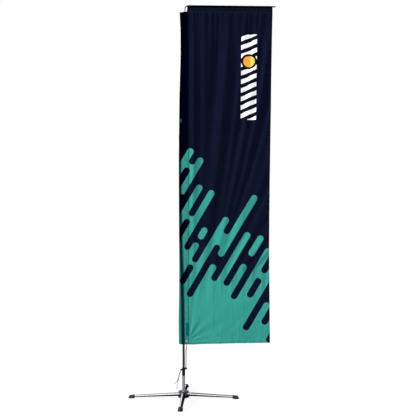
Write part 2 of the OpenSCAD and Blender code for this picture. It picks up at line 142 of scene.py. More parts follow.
CORD_DIAMETER = 0.0035
CORD_STEP = 0.0015
TAIL_LONG = [
    (-0.020, -0.002, 0.228), (-0.0215, -0.0024, 0.223), (-0.027, -0.004, 0.213), (-0.032, -0.005, 0.201),
    (-0.035, -0.006, 0.189), (-0.037, -0.0065, 0.177), (-0.039, -0.007, 0.165), (-0.043, -0.007, 0.155),
    (-0.047, -0.0075, 0.145), (-0.050, -0.008, 0.134), (-0.052, -0.0085, 0.122), (-0.0535, -0.009, 0.108),
    (-0.0545, -0.009, 0.092), (-0.055, -0.009, 0.076),
]
TAIL_SHORT = [
    (-0.020, 0.0025, 0.228), (-0.022, 0.0026, 0.223), (-0.029, 0.0024, 0.214), (-0.035, 0.0016, 0.203),
    (-0.039, 0.0004, 0.191), (-0.0415, -0.001, 0.179), (-0.043, -0.0025, 0.167), (-0.045, -0.0035, 0.156),
    (-0.049, -0.0035, 0.146), (-0.055, -0.003, 0.138), (-0.062, -0.003, 0.131), (-0.070, -0.003, 0.124),
    (-0.078, -0.003, 0.118),
]
TENSION_ROUTE = [
    (0.0205, -0.002, 0.252), (0.0208, -0.0025, 0.262), (0.0215, -0.003, 0.280), (0.023, -0.0035, 0.310),
    (0.024, -0.004, 0.345), (0.0245, -0.0045, 0.380), (0.0242, -0.0048, 0.410), (0.0238, -0.0045, 0.430),
    (0.0235, -0.0032, 0.438), (0.0232, -0.0012, 0.441), (0.0228, 0.0012, 0.441), (0.0225, 0.0032, 0.438),
    (0.022, 0.0044, 0.431), (0.0205, 0.0046, 0.416), (0.0175, 0.004, 0.392), (0.015, 0.0035, 0.365),
    (0.0135, 0.003, 0.335), (0.0133, 0.003, 0.305), (0.014, 0.003, 0.280), (0.0155, 0.0025, 0.262),
    (0.016, 0.0022, 0.252),
]
KNOT_WIRE = CORD_DIAMETER / 2
KNOT_TURNS = 2.6
KNOT_AXIS = (-0.35, -0.05, -1.0)
KNOT_SQUEEZE = 0.25


def make_knot():
    """The cord's turns round the two free ends, between the knot node's two sides."""
    low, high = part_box("cord_knot")
    centre = np.array((low + high) / 2)
    ring_r = (high - low).x / 2 - KNOT_WIRE
    axis = np.array(KNOT_AXIS)
    axis /= np.linalg.norm(axis)
    across = np.cross(axis, (0, 1, 0))
    across /= np.linalg.norm(across)
    other = np.cross(axis, across)
    share = np.linspace(-0.5, 0.5, 90)
    angle = 2 * np.pi * KNOT_TURNS * share
    squeeze = ring_r * (1 - KNOT_SQUEEZE * (2 * share) ** 4)
    line = (
        centre
        + (squeeze * np.cos(angle))[:, None] * across
        + (squeeze * np.sin(angle))[:, None] * other
        + (share * KNOT_TURNS * CORD_DIAMETER * 0.95)[:, None] * axis
    )
    knot = tube("cord_knot_turns", line, KNOT_WIRE)
    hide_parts("cord_knot")
    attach(knot, "pole")
    return knot


def make_cords():
    """The two free ends and the tight hairpin between the clip and the hook."""
    knot = make_knot()
    made = [knot]
    for name, node, route, pieces in (
        ("cord_end_long", "cord_tail_long", TAIL_LONG, [knot]),
        ("cord_end_short", "cord_tail_short", TAIL_SHORT, []),
    ):
        line = smooth_route(route, CORD_STEP)
        end = tube(name, line, CORD_DIAMETER / 2)
        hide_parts(node)
        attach(end, "pole")
        made.append(end)
    tight = tube("tension_elastic", smooth_route(TENSION_ROUTE, CORD_STEP), CORD_DIAMETER / 2)
    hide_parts("tension_cord")
    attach(tight, "pole")
    made.append(tight)
    return made


cords = make_cords()

# ---------------------------------------------------------------- node materials


class Shade:
    """One node material. Its methods add a node and return the socket that it makes."""

    def __init__(self, name, roughness, metallic=0.0, **sockets):
        self.material = bpy.data.materials.new(name)
        self.material.use_nodes = True
        self.tree = self.material.node_tree
        self.surface = self.tree.nodes["Principled BSDF"]
        self.surface.inputs["Roughness"].default_value = roughness
        self.surface.inputs["Metallic"].default_value = metallic
        for socket, value in sockets.items():
            self.surface.inputs[socket.replace("_", " ")].default_value = value

    def node(self, kind, inputs=(), **settings):
        made = self.tree.nodes.new(kind)
        for name, value in settings.items():
            setattr(made, name, value)
        for key, value in dict(inputs).items():
            if isinstance(value, bpy.types.NodeSocket):
                self.tree.links.new(value, made.inputs[key])
            elif value is not None:
                made.inputs[key].default_value = value
        return made

    def math(self, operation, a, b=None, c=None, clamp=False):
        made = self.node("ShaderNodeMath", {0: a, 1: b, 2: c}, operation=operation, use_clamp=clamp)
        return made.outputs[0]

    def joined(self, operation, *terms):
        """The terms joined two at a time by an operation."""
        total = terms[0]
        for term in terms[1:]:
            total = self.math(operation, total, term)
        return total

    def sum_of(self, *terms):
        return self.joined("ADD", *terms)

    def largest(self, *terms):
        return self.joined("MAXIMUM", *terms)

    def product(self, *terms):
        return self.joined("MULTIPLY", *terms)

    def gap(self, a, b):
        """How far two values lie apart."""
        return self.math("ABSOLUTE", self.math("SUBTRACT", a, b))

    def parts(self, vector):
        """A vector's X, Y and Z."""
        return self.node("ShaderNodeSeparateXYZ", {0: vector}).outputs[:]

    def cut(self):
        """The place on the flat cloth or along a cord: two sockets, in metres."""
        return self.parts(self.node("ShaderNodeUVMap", uv_map="cut").outputs[0])[:2]

    def place(self):
        return self.node("ShaderNodeTexCoord").outputs["Object"]

    def stretched(self, vector, scale):
        return self.node("ShaderNodeMapping", {"Vector": vector, "Scale": scale}).outputs[0]

    def noise(self, scale, detail=4.0, roughness=0.55, vector=None):
        inputs = {"Vector": vector or self.place(), "Scale": scale, "Detail": detail, "Roughness": roughness}
        return self.node("ShaderNodeTexNoise", inputs).outputs[0]

    def wave(self, value, length):
        """A sine wave of a length."""
        return self.math("SINE", self.math("MULTIPLY", value, 2 * math.pi / length))

    def grey(self, level):
        """A grey of a brightness, to multiply a colour by."""
        return self.node("ShaderNodeCombineColor", {0: level, 1: level, 2: level}).outputs[0]

    def attribute(self, name):
        return self.node("ShaderNodeAttribute", attribute_name=name).outputs["Fac"]

    def ranged(self, value, low, high, to_low=0, to_high=1, kind="SMOOTHSTEP"):
        inputs = {0: value, 1: low, 2: high, 3: to_low, 4: to_high}
        return self.node("ShaderNodeMapRange", inputs, interpolation_type=kind).outputs[0]

    def mix(self, factor, a, b, blend="MIX"):
        made = self.node("ShaderNodeMix", data_type="RGBA", blend_type=blend)
        for key, value in ((0, factor), (6, a), (7, b)):
            if isinstance(value, bpy.types.NodeSocket):
                self.tree.links.new(value, made.inputs[key])
            else:
                made.inputs[key].default_value = (*value, 1.0) if key else value
        return made.outputs[2]

    def feed(self, **sockets):
        for name, socket in sockets.items():
            self.tree.links.new(socket, self.surface.inputs[name.replace("_", " ")])

    def bump(self, height, distance, strength=1.0):
        made = self.node("ShaderNodeBump", {"Height": height, "Distance": distance, "Strength": strength})
        self.tree.links.new(made.outputs[0], self.surface.inputs["Normal"])


def scaled(tint, gain, lift=0.0):
    """A tint times a gain, raised by a lift."""
    return tuple(gain * channel + lift for channel in tint)


PLATE_METALLIC = 0.6


def polish(m, tint, roughness):
    """Finger marks, polishing lines and small pits in chrome plate. Returns the plate's colour."""
    marks = m.noise(22, 5)
    lines = m.noise(60, 3, vector=m.stretched(m.place(), (0.6, 0.6, 9.0)))
    wear = m.sum_of(marks, m.product(lines, 0.4))
    m.feed(Roughness=m.ranged(wear, 0.35, 1.0, roughness, roughness + 0.14))
    m.bump(m.sum_of(lines, m.noise(420, 2)), 0.00004, 0.5)
    return m.mix(m.ranged(marks, 0.3, 0.75), tint, scaled(tint, 0.86))


def chrome(name, tint, roughness):
    """Chrome plate on a tube."""
    m = Shade(name, roughness, metallic=PLATE_METALLIC, Specular_IOR_Level=0.0)
    m.feed(Base_Color=polish(m, tint, roughness))
    return m.material


LEG_ROOT = 0.035
LEG_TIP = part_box("leg_right")[1].x
LEG_BAND_SPAN = 0.032
RIGHT_LEG_FROM = 0.064
# Painted reflection colours of the legs: a near-black lower band and a duller rim, darkest on the right leg.
LEG_PAINTED_DARK_REFLECTION = (0.006, 0.0055, 0.006)
LEG_PAINTED_RIM_REFLECTION = (0.25, 0.20, 0.27)
LEG_PAINTED_RIM_REFLECTION_RIGHT = (0.05, 0.045, 0.055)


def leg_section(reach):
    """Middle height and height of a leg, a distance out from the spigot's axis."""
    co = np.array([v.co for v in nodes["leg_right"].data.vertices])
    z = co[np.abs(co[:, 0] - reach) < 0.006][:, 2]
    return float(z.min() + z.max()) / 2, float(z.max() - z.min())


def leg_chrome_painted_reflections(name, tint, roughness):
    """Chrome plate on a leg with painted reflections: a bright band between a painted duller rim and a painted
    dark lower part, standing in for the reflection of a room.

    On the right and left legs the bands lie one above the other, and on the front and rear legs side by side.
    The right leg's painted rim is the darkest."""
    m = Shade(name, roughness, Specular_IOR_Level=0.0)
    x, y, z = m.parts(m.place())
    out_x, out_y = m.math("ABSOLUTE", x), m.math("ABSOLUTE", y)
    reach = m.math("MAXIMUM", out_x, out_y)
    (root_mid, root_tall), (tip_mid, tip_tall) = leg_section(LEG_ROOT), leg_section(LEG_TIP)
    middle = m.ranged(reach, LEG_ROOT, LEG_TIP, root_mid, tip_mid, "LINEAR")
    tall = m.ranged(reach, LEG_ROOT, LEG_TIP, root_tall, tip_tall, "LINEAR")
    level = m.math("DIVIDE", m.math("SUBTRACT", z, middle), tall)
    lateral = m.math("DIVIDE", x, -LEG_BAND_SPAN)
    along_y = m.math("GREATER_THAN", out_y, out_x)
    across = m.sum_of(level, m.product(along_y, m.math("SUBTRACT", lateral, level)))
    on_right = m.math("GREATER_THAN", x, RIGHT_LEG_FROM)
    # Painted reflection: the rim band is painted into the base colour over the plate.
    painted_rim = m.mix(on_right, LEG_PAINTED_RIM_REFLECTION, LEG_PAINTED_RIM_REFLECTION_RIGHT)
    painted_rim_over_plate = m.mix(m.ranged(across, 0.26, 0.4), polish(m, tint, roughness), painted_rim)
    # Painted dark reflection: the lower part of each leg is painted near black and made non-metallic.
    dark = m.ranged(across, 0.0, 0.14, 1, 0)
    m.feed(Base_Color=m.mix(dark, painted_rim_over_plate, LEG_PAINTED_DARK_REFLECTION))
    m.feed(Metallic=m.ranged(dark, 0, 1, PLATE_METALLIC, 0))
    return m.material


def plated(name, tint, roughness, scratch=1.0):
    """Zinc-plated, drawn or brushed steel."""
    m = Shade(name, roughness, metallic=1.0)
    patch = m.noise(70, 5)
    grain = m.noise(900, 2, vector=m.stretched(m.place(), (1.0, 1.0, 0.12)))
    m.feed(Base_Color=m.mix(m.ranged(patch, 0.3, 0.7), tint, scaled(tint, 0.72)))
    m.feed(Roughness=m.ranged(m.sum_of(patch, grain), 0.6, 1.5, roughness, roughness + 0.22))
    m.bump(grain, 0.00005 * scratch, 0.6)
    return m.material


def powder_coat(name, tint, roughness=0.42, top=None):
    """Powder-coated steel: orange peel, worn rims and a little dust.

    top gives a height above which the steel is bare, and the bare steel's tint."""
    m = Shade(name, roughness, Specular_IOR_Level=0.1)
    peel = m.noise(900, 2)
    dust = m.noise(45, 6, 0.65)
    tone = m.mix(m.ranged(dust, 0.45, 0.75), tint, scaled(tint, 1.9, 0.008))
    if top:
        height, bare = top
        x, y, z = m.parts(m.place())
        tone = m.mix(m.math("GREATER_THAN", z, height), tone, bare)
    edge = m.node("ShaderNodeNewGeometry").outputs["Pointiness"]
    worn = m.product(m.ranged(edge, 0.53, 0.6), m.ranged(m.noise(160, 4), 0.4, 0.6))
    m.feed(Base_Color=m.mix(worn, tone, scaled(tint, 2.6, 0.03)))
    m.feed(Roughness=m.ranged(dust, 0.3, 0.8, roughness, roughness + 0.2))
    m.bump(peel, 0.00012, 0.7)
    return m.material


def moulded(name, tint, roughness, grain=700, depth=0.0001, scuff=1.5):
    """Moulded plastic or rubber with a fine texture and pale scuffs."""
    m = Shade(name, roughness, Specular_IOR_Level=0.04)
    scuffs = m.ranged(m.noise(95, 6, 0.7), 0.52, 0.72)
    m.feed(Base_Color=m.mix(scuffs, tint, scaled(tint, scuff, 0.006)))
    m.feed(Roughness=m.ranged(m.noise(60, 5), 0.3, 0.7, roughness - 0.08, roughness + 0.12))
    m.bump(m.sum_of(m.noise(grain, 2), m.product(scuffs, 0.4)), depth, 0.8)
    return m.material


def anodised(name, tint):
    """Dark anodised tube with drawing lines along it."""
    m = Shade(name, 0.36, metallic=0.2, Specular_IOR_Level=0.02)
    lines = m.noise(500, 3, vector=m.stretched(m.place(), (1.0, 1.0, 0.02)))
    rub = m.ranged(m.noise(30, 6, 0.7), 0.55, 0.75)
    m.feed(Base_Color=m.mix(rub, tint, scaled(tint, 2.0, 0.01)))
    m.feed(Roughness=m.ranged(lines, 0.3, 0.7, 0.3, 0.5))
    m.bump(lines, 0.00004, 0.6)
    return m.material


YARNS_ROUND = 8
YARN_LENGTH = 0.0032


def braid(name, tint, dark):
    """Braided elastic: yarns that cross at a slant, with darker gaps."""
    m = Shade(name, 0.78, Specular_IOR_Level=0.02)
    around, along = m.cut()
    turn = m.product(around, YARNS_ROUND / (math.pi * CORD_DIAMETER))
    waves = []
    for lay in (YARN_LENGTH, -YARN_LENGTH):
        waves.append(m.wave(m.sum_of(turn, m.math("DIVIDE", along, lay)), 1))
    yarn = m.product(*waves)
    gap = m.ranged(yarn, -1.0, 0.4, 1.0, 0.0)
    m.feed(Base_Color=m.mix(m.product(gap, 0.6), tint, dark))
    m.bump(m.sum_of(yarn, m.product(m.noise(2500, 2), 0.4)), 0.00014, 0.9)
    return m.material


# ---------------------------------------------------------------- flag: shape

CELL = 0.0112
BAR_ROOM = 0.0058
STITCH_DROP = 0.045
NOTCH_X = 0.029
SEAM_X = 0.042
BOTTOM_RISE = 0.014
BOTTOM_DROP = 0.005
WIDTH_SPARE = 1.037
POCKET_CUT = 0.09
PANEL_RIGHT = 0.724
MID_X = 0.4
CLOTH_GAP = 0.0013
FREE_EDGE_HOLD = 0.25
HANG_GRAVITY = 0.3
HANG_FRAMES = 60
# The cloth's left and right edges: points of height and place along X.
LEFT_EDGE = [
    (3.17, -0.033), (3.0, -0.025), (2.8, -0.025), (2.45, -0.035), (1.95, -0.040), (1.4, -0.038),
    (1.1, -0.036), (0.85, -0.037), (0.64, -0.041), (0.45, -0.038),
]
RIGHT_EDGE = [
    (3.17, 0.728), (2.95, 0.723), (2.5, 0.7165), (2.0, 0.709), (1.6, 0.703), (1.2, 0.700), (0.8, 0.704),
    (0.46, 0.7075),
]
EDGE_TOP = LEFT_EDGE[0][0]


def smooth_curve(points, spread=0.12):
    """A function of height through (height, place) points, with its corners rounded."""
    z, x = np.array(sorted(points)).T
    fine = np.linspace(z[0] - 1, z[-1] + 1, 1200)
    raw = np.interp(fine, z, x)
    width = max(3, int(spread / (fine[1] - fine[0])) | 1)
    kernel = np.hanning(width + 2)[1:-1]
    kernel /= kernel.sum()
    soft = np.convolve(np.pad(raw, width // 2, mode="edge"), kernel, mode="valid")
    return lambda height: np.interp(height, fine, soft)


def centre_line(name):
    """Points (x, z) down the middle of a packed tube that bends in the XZ plane, and the tube's radius."""
    co = np.array([v.co for v in nodes[name].data.vertices])
    radius = co[:, 1].max()
    crest = co[co[:, 1] > 0.99 * radius][:, [0, 2]]
    ends = crest[np.argmin(crest[:, 1])]
    order = np.argsort(np.round(np.linalg.norm(crest - ends, axis=1), 4))
    line = [crest[order[0]]]
    for point in crest[order]:
        if np.linalg.norm(point - line[-1]) > 0.002:
            line.append(point)
    return np.array(line), float(radius)


POLE_TUBES = ("pole_section_lower", "pole_section_middle", "pole_section_upper", "elbow_rod")
FERRULES = ("ferrule_lower", "ferrule_middle", "ferrule_upper")
TUBES = [centre_line(name) for name in POLE_TUBES + FERRULES + ("crossbar",)]
POCKET_SPAN = (0.42, 3.19)


def pole_places():
    """Heights, centre places and radii along the pole, from the tubes' centre lines."""
    z = np.linspace(*POCKET_SPAN, 240)
    x, r = np.zeros(len(z)), np.zeros(len(z))
    for line, radius in TUBES[: len(POLE_TUBES)]:
        inside = (z >= line[:, 1].min() - 0.02) & (z <= line[:, 1].max())
        x = np.where(inside, np.interp(z, line[:, 1], line[:, 0]), x)
    for line, radius in TUBES[:-1]:
        inside = (z >= line[:, 1].min() - 0.012) & (z <= line[:, 1].max() + 0.012)
        r = np.where(inside, np.maximum(r, radius), r)
    return z, x, r


def stand_off(x, z):
    """How far in front of the pole's plane a tube keeps the cloth at each place."""
    place = np.stack([x, z], axis=-1)
    off = np.zeros(x.shape)
    for line, radius in TUBES:
        near = np.full(x.shape, np.inf)
        for a, b in zip(line[:-1], line[1:]):
            along = np.clip(((place - a) @ (b - a)) / ((b - a) @ (b - a)), 0, 1)
            near = np.minimum(near, np.linalg.norm(place - a - along[..., None] * (b - a), axis=-1))
        off = np.maximum(off, np.sqrt(np.clip((radius + CLOTH_GAP) ** 2 - near**2, 0, None)))
    return off


POLE_Z, POLE_X, POLE_R = pole_places()
left_edge = smooth_curve(LEFT_EDGE)
right_edge = smooth_curve(RIGHT_EDGE)
BAR_LOW, BAR_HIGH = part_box("crossbar")
BAR_THICKNESS = BAR_HIGH.y - BAR_LOW.y
BAR_SLOPE = (BAR_HIGH.z - BAR_LOW.z - BAR_THICKNESS) / (BAR_HIGH.x - BAR_LOW.x)


def bar_z(x):
    """Height of the crossbar's axis."""
    return BAR_HIGH.z - BAR_THICKNESS / 2 - (x - BAR_LOW.x) * BAR_SLOPE


def stitch_z(x):
    """Height of the stitching under the crossbar."""
    return bar_z(x) - STITCH_DROP


def bottom_z(x):
    """Height of the bottom edge: it rises towards the free edge and dips beside the pole."""
    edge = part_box("flag_panel")[0].z - BOTTOM_DROP
    rise = BOTTOM_RISE * np.clip((x - SEAM_X) / 0.66, 0, 1) ** 1.3
    dip = 0.004 * np.exp(-(((x - 0.08) / 0.06) ** 2))
    return edge + rise - dip


def pocket_line(z, count):
    """Places (x, y) of the pocket's front from its left fold over the pole to the seam, count of them."""
    centre = float(np.interp(z, POLE_Z, POLE_X))
    room = float(np.interp(z, POLE_Z, POLE_R)) + CLOTH_GAP
    left = float(left_edge(z))
    line = [(left, 0.0)]
    reach = [max(centre - left, room * 1.001), max(SEAM_X - centre, room * 1.001)]
    start, end = (math.acos(room / d) for d in reach)
    for angle in np.linspace(math.pi - start, end, 15):
        line.append((centre + room * math.cos(angle), -room * math.sin(angle)))
    line.append((SEAM_X, 0.0))
    line = np.array(line)
    run = np.concatenate([[0], np.cumsum(np.linalg.norm(np.diff(line, axis=0), axis=1))])
    share = np.linspace(0, 1, count) * run[-1]
    return np.column_stack([np.interp(share, run, line[:, 0]), np.interp(share, run, line[:, 1])])


def share_of(value, full):
    """0 at and below zero, rising evenly to 1 at a full value."""
    return np.clip(value / full, 0, 1)


def fold_height(x, drop):
    """How far the cloth's folds stand off its middle plane, at each drop below the crossbar's stitching.

    Fine gathers under the crossbar run together into broad folds, which lean towards the lower left corner
    and die away above it."""
    lean = np.clip(0.42 * (drop / 1.5) ** 1.6, 0, 0.72)
    home = 0.1 + (x - 0.1) / (1 - lean)
    fine_size = 0.7 + 0.3 * np.sin(home * 31 + 1)
    fine = fine_size * np.sin(2 * np.pi * (home / 0.056 + 0.35 * np.sin(home * 23)))
    broad = np.sin(2 * np.pi * (home / 0.128 + 0.22 * np.sin(home * 9 + 0.6)) + 0.4)
    wander = np.sin(2 * np.pi * (home / 0.29 + drop * 0.21) + 1.9)
    fine_share = np.exp(-((drop / 0.34) ** 1.5))
    grown = np.clip(drop / 0.35, 0.15, 1)
    broad_share = grown * np.clip((1.7 - drop) / 1.0, 0.02, 1)
    wander_share = grown * np.clip((2.5 - drop) / 1.2, 0.1, 1)
    return 0.0055 * fine * fine_share + 0.0115 * broad * broad_share + 0.008 * wander * wander_share


class Sheet:
    """The flag's printed cloth as a grid.

    Its rows go from the crossbar down, and its columns from the left fold to the free edge."""

    pocket_cells = 9
    notch_column = 7
    bar_rows = 3
    hem_rows = 5

    def __init__(self):
        self.seam_u = POCKET_CUT
        width = (PANEL_RIGHT - SEAM_X) * WIDTH_SPARE
        panel_cells = round(width / CELL)
        strip = np.linspace(0, self.seam_u, self.pocket_cells + 1)
        panel = self.seam_u + width * np.arange(1, panel_cells + 1) / panel_cells
        self.u = np.concatenate([strip, panel])
        self.seam = self.pocket_cells
        self.stitch_row = self.bar_rows + self.hem_rows
        self.over_bar = BAR_ROOM * math.pi / 2
        self.stitch_v = self.over_bar + STITCH_DROP
        length = stitch_z(MID_X) - bottom_z(MID_X)
        panel_rows = round(length / CELL)
        self.v = np.concatenate([
            np.linspace(0, self.over_bar, self.bar_rows + 1)[:-1],
            np.linspace(self.over_bar, self.stitch_v, self.hem_rows + 1)[:-1],
            self.stitch_v + length * np.arange(panel_rows + 1) / panel_rows,
        ])
        self.length = length
        self.points = self.start()

    @property
    def shape(self):
        return len(self.v), len(self.u)

    def nominal_x(self, z):
        """Places across of all columns at one height, for the panel."""
        share = (self.u - self.seam_u) / (self.u[-1] - self.seam_u)
        return SEAM_X + (right_edge(z) - SEAM_X) * share

    def start(self):
        """The grid's points before it hangs."""
        return np.array([self.hem_row(v) if v < self.stitch_v else self.panel_row(v) for v in self.v])

    def hem_row(self, v):
        """A row on the crossbar's hem: round the bar's front, then down to the stitching."""
        x = self.nominal_x(EDGE_TOP)
        x[: self.seam] = np.linspace(left_edge(EDGE_TOP), SEAM_X, self.seam + 1)[: self.seam]
        x[self.notch_column] = NOTCH_X
        if v < self.over_bar:
            angle = v / BAR_ROOM
            y, z = -BAR_ROOM * math.sin(angle), bar_z(x) + BAR_ROOM * math.cos(angle)
        else:
            down = (v - self.over_bar) / STITCH_DROP
            y, z = -BAR_ROOM * (1 - down), bar_z(x) - STITCH_DROP * down
        return np.column_stack([x, np.full(len(x), y), z])

    def panel_row(self, v):
        """A row below the stitching: round the pole's front, then out across the panel with its folds."""
        drop = v - self.stitch_v
        down = drop / self.length
        x = self.nominal_x(stitch_z(MID_X) + down * (bottom_z(MID_X) - stitch_z(MID_X)))
        z = stitch_z(x) + down * (bottom_z(x) - stitch_z(x))
        pocket_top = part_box("pole_pocket")[1].z
        pocket_z = pocket_top + down * (bottom_z(0.0) - pocket_top)
        pocket = pocket_line(pocket_z, self.seam + 1)
        x[: self.seam + 1] = pocket[:, 0]
        y = np.zeros(len(x))
        y[: self.seam + 1] = pocket[:, 1]
        share = np.linspace(0, 1, self.seam + 1)[: self.seam]
        z[: self.seam] = pocket_z + (z[self.seam] - pocket_z) * share
        loose = share_of(self.u - self.seam_u, 0.05) * share_of(drop, 0.03)
        return np.column_stack([x, y + loose * fold_height(x, drop), z])

    def faces(self):
        """The grid's cells, without the notch at the elbow."""
        rows, columns = self.shape
        made = []
        for j in range(rows - 1):
            for i in range(columns - 1):
                if j < self.stitch_row and i < self.notch_column:
                    continue
                a = j * columns + i
                made.append((a, a + columns, a + columns + 1, a + 1))
        return made

    def flat(self):
        """The cloth as it was cut, lying in a plane."""
        rows, columns = self.shape
        u, v = np.meshgrid(self.u, self.v)
        return np.stack([u, np.zeros((rows, columns)), -v], axis=-1)

    def held(self):
        """How firmly each point is held: the hem and the pocket wholly, the free edge a little."""
        rows, columns = self.shape
        hold = np.zeros((rows, columns))
        hold[:, : self.seam + 1] = 1
        hold[: self.stitch_row + 1] = 1
        hold[self.stitch_row + 1 :, -1] = FREE_EDGE_HOLD
        return hold


FABRIC = {
    "pin_stiffness": 1.0, "quality": 7, "mass": 0.001, "air_damping": 2,
    "tension_stiffness": 90, "compression_stiffness": 90, "shear_stiffness": 12, "bending_stiffness": 0.02,
    "tension_damping": 8, "compression_damping": 8, "shear_damping": 5, "bending_damping": 0.5,
}


def hang(sheet):
    """Lets the cloth hang from its start, and returns where it comes to rest."""
    points = sheet.points.reshape(-1, 3)
    cloth = new_object("hanging", points, sheet.faces())
    group = cloth.vertex_groups.new(name="held")
    hold = sheet.held().ravel()
    for weight in np.unique(hold):
        group.add([int(i) for i in np.flatnonzero(hold == weight)], float(weight), "REPLACE")
    cloth.shape_key_add(name="start")
    cut = cloth.shape_key_add(name="cut", from_mix=False)
    cut.data.foreach_set("co", sheet.flat().ravel())
    cut.value = 0
    modifier = cloth.modifiers.new("hang", "CLOTH")
    settings = modifier.settings
    settings.rest_shape_key = cut
    settings.vertex_group_mass = "held"
    for setting, value in FABRIC.items():
        setattr(settings, setting, value)
    settings.effector_weights.gravity = HANG_GRAVITY
    modifier.collision_settings.use_collision = False
    modifier.point_cache.frame_start = 1
    modifier.point_cache.frame_end = HANG_FRAMES
    for number in range(1, HANG_FRAMES + 1):
        scene.frame_set(number)
    rested = cloth.evaluated_get(bpy.context.evaluated_depsgraph_get()).to_mesh()
    co = np.zeros(len(rested.vertices) * 3)
    rested.vertices.foreach_get("co", co)
    bpy.data.objects.remove(cloth)
    scene.frame_set(1)
    return co.reshape(sheet.points.shape)


sheet = Sheet()
sheet.points = hang(sheet)

# ---------------------------------------------------------------- flag: fine shape


def refined(grid):
    """The grid with a point halfway between each pair of neighbours, on a smooth curve through them."""
    for axis in (0, 1):
        grid = np.moveaxis(grid, axis, 0)
        padded = np.concatenate([2 * grid[:1] - grid[1:2], grid, 2 * grid[-1:] - grid[-2:-1]])
        middle = (9 * (padded[1:-2] + padded[2:-1]) - padded[:-3] - padded[3:]) / 16
        fine = np.empty((2 * len(grid) - 1,) + grid.shape[1:])
        fine[0::2], fine[1::2] = grid, middle
        grid = np.moveaxis(fine, 0, axis)
    return grid


def refined_line(values):
    """The values with the middle of each pair of neighbours between them."""
    fine = np.empty(2 * len(values) - 1)
    fine[0::2] = values
    fine[1::2] = (values[:-1] + values[1:]) / 2
    return fine


def ripples(x, wavelength, seed):
    """Irregular gathers along a seam, from -1 to 1."""
    warp = 0.4 * np.sin(x * 19 + seed) + 0.25 * np.sin(x * 47 + 2 * seed)
    size = 0.65 + 0.35 * np.sin(x * 13 + 3 * seed)
    return size * np.sin(2 * np.pi * (x / wavelength + warp))


GROMMET_LOW, GROMMET_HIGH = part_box("grommet")
GROMMET = np.array((GROMMET_LOW + GROMMET_HIGH) / 2)


def pole_at(z):
    """Place along X of the pole's centre line at a height."""
    return np.interp(z, POLE_Z, POLE_X)


def flat_near_grommet(x, z):
    """1 at the grommet, which holds the cloth flat, fading to 0 round it."""
    return np.exp(-(((x - GROMMET[0]) / 0.011) ** 2) - ((z - GROMMET[2]) / 0.024) ** 2)


def grommet_pull(x, z):
    """Tension lines that fan out of the grommet across the panel, from -1 to 1."""
    dx, dz = x - GROMMET[0], z - GROMMET[2]
    reach = np.hypot(dx, dz)
    bearing = np.arctan2(dz, np.maximum(dx, 1e-4))
    pull = share_of(reach - 0.03, 0.05) * np.exp(-reach / 0.3) * share_of(x - SEAM_X, 0.02)
    return pull * np.sin(bearing * 15 + 0.7) * share_of(bearing, 0.2)


def add_wrinkles(points, u, v):
    """Gathers in the crossbar's hem, puckers along the seams and tension lines out of the grommet."""
    x, y, z = points[..., 0], points[..., 1], points[..., 2]
    drop = v[:, None] - sheet.stitch_v
    below = share_of(drop, 0.05)
    belly = np.sin(np.pi * share_of(-drop, STITCH_DROP)) ** 0.5
    on_hem = share_of(v[:, None] - 0.004, 0.01) * (drop < 0) * belly
    y += 0.0028 * on_hem * ripples(x, 0.024, 0.7)
    under = np.exp(-(np.clip(drop, 0, 9) / 0.09)) * (drop >= 0) * share_of(x - SEAM_X, 0.01)
    y += 0.0024 * under * ripples(x, 0.03, 0.2)
    y += 0.0011 * np.exp(-(np.abs(x - SEAM_X) / 0.02)) * below * ripples(z, 0.041, 1.3)
    in_pocket = (x < SEAM_X - 0.004) * share_of(drop, 0.02) * share_of(x - pole_at(z) - 0.012, 0.02)
    y -= 0.0012 * in_pocket * (1 + ripples(z + 1.7 * x, 0.17, 2.1))
    y += 0.0013 * np.exp(-((u[-1] - u)[None, :] / 0.022)) * below * ripples(z, 0.062, 4.0)
    hem = np.exp(-((v[-1] - v)[:, None] / 0.03)) * share_of(x - SEAM_X, 0.03)
    y += 0.0016 * hem * ripples(x, 0.055, 2.6)
    y += 0.003 * grommet_pull(x, z)
    y *= 1 - flat_near_grommet(x, z)
    near = x < SEAM_X + 0.03
    off = np.where(near | (drop < 0), stand_off(x, z), 0)
    points[..., 1] = np.where(off > 0, np.minimum(y, -off), y)
    return points


def grid_piece(name, points, uvs, keep=None):
    """A mesh from a grid of points. keep says which cells have a face."""
    rows, columns = points.shape[:2]
    cells = [(j, i) for j in range(rows - 1) for i in range(columns - 1)]
    corners = [j * columns + i for j, i in cells if keep is None or keep[j, i]]
    faces = [(a, a + columns, a + columns + 1, a + 1) for a in corners]
    used = sorted({k for f in faces for k in f})
    renumber = {k: n for n, k in enumerate(used)}
    faces = [tuple(renumber[k] for k in f) for f in faces]
    flat_points = points.reshape(-1, 3)[used]
    piece = new_object(name, flat_points, faces, uvs.reshape(-1, 2)[used])
    for attribute, values in (
        ("pole_gap", flat_points[:, 0] - pole_at(flat_points[:, 2])),
        ("bar_gap", flat_points[:, 2] - bar_z(flat_points[:, 0])),
    ):
        layer = piece.data.attributes.new(attribute, "FLOAT", "POINT")
        layer.data.foreach_set("value", values.astype(np.float32))
    return piece


HEM_LIFT = 0.0009


def behind(points, lift=HEM_LIFT):
    """The same grid, moved just behind the cloth."""
    moved = points.copy()
    moved[..., 1] += lift
    return moved


def folded_edge(front, uvs, axis, outward):
    """A hem: the cloth rolls over its edge, front's last line along axis, and lies on its own back."""
    front = np.moveaxis(front, axis, 0)[::-1]
    uvs = np.moveaxis(uvs, axis, 0)[::-1]
    edge = front[0]
    roll = [edge]
    for angle in (45, 90, 135):
        lift = HEM_LIFT / 2 * (1 - math.cos(math.radians(angle)))
        reach = HEM_LIFT / 2 * math.sin(math.radians(angle))
        roll.append(edge + np.array((0, lift, 0)) + reach * np.array(outward))
    grid = np.concatenate([np.array(roll), behind(front)])
    cut = np.concatenate([np.repeat(uvs[:1], len(roll), axis=0), uvs])
    return grid, cut


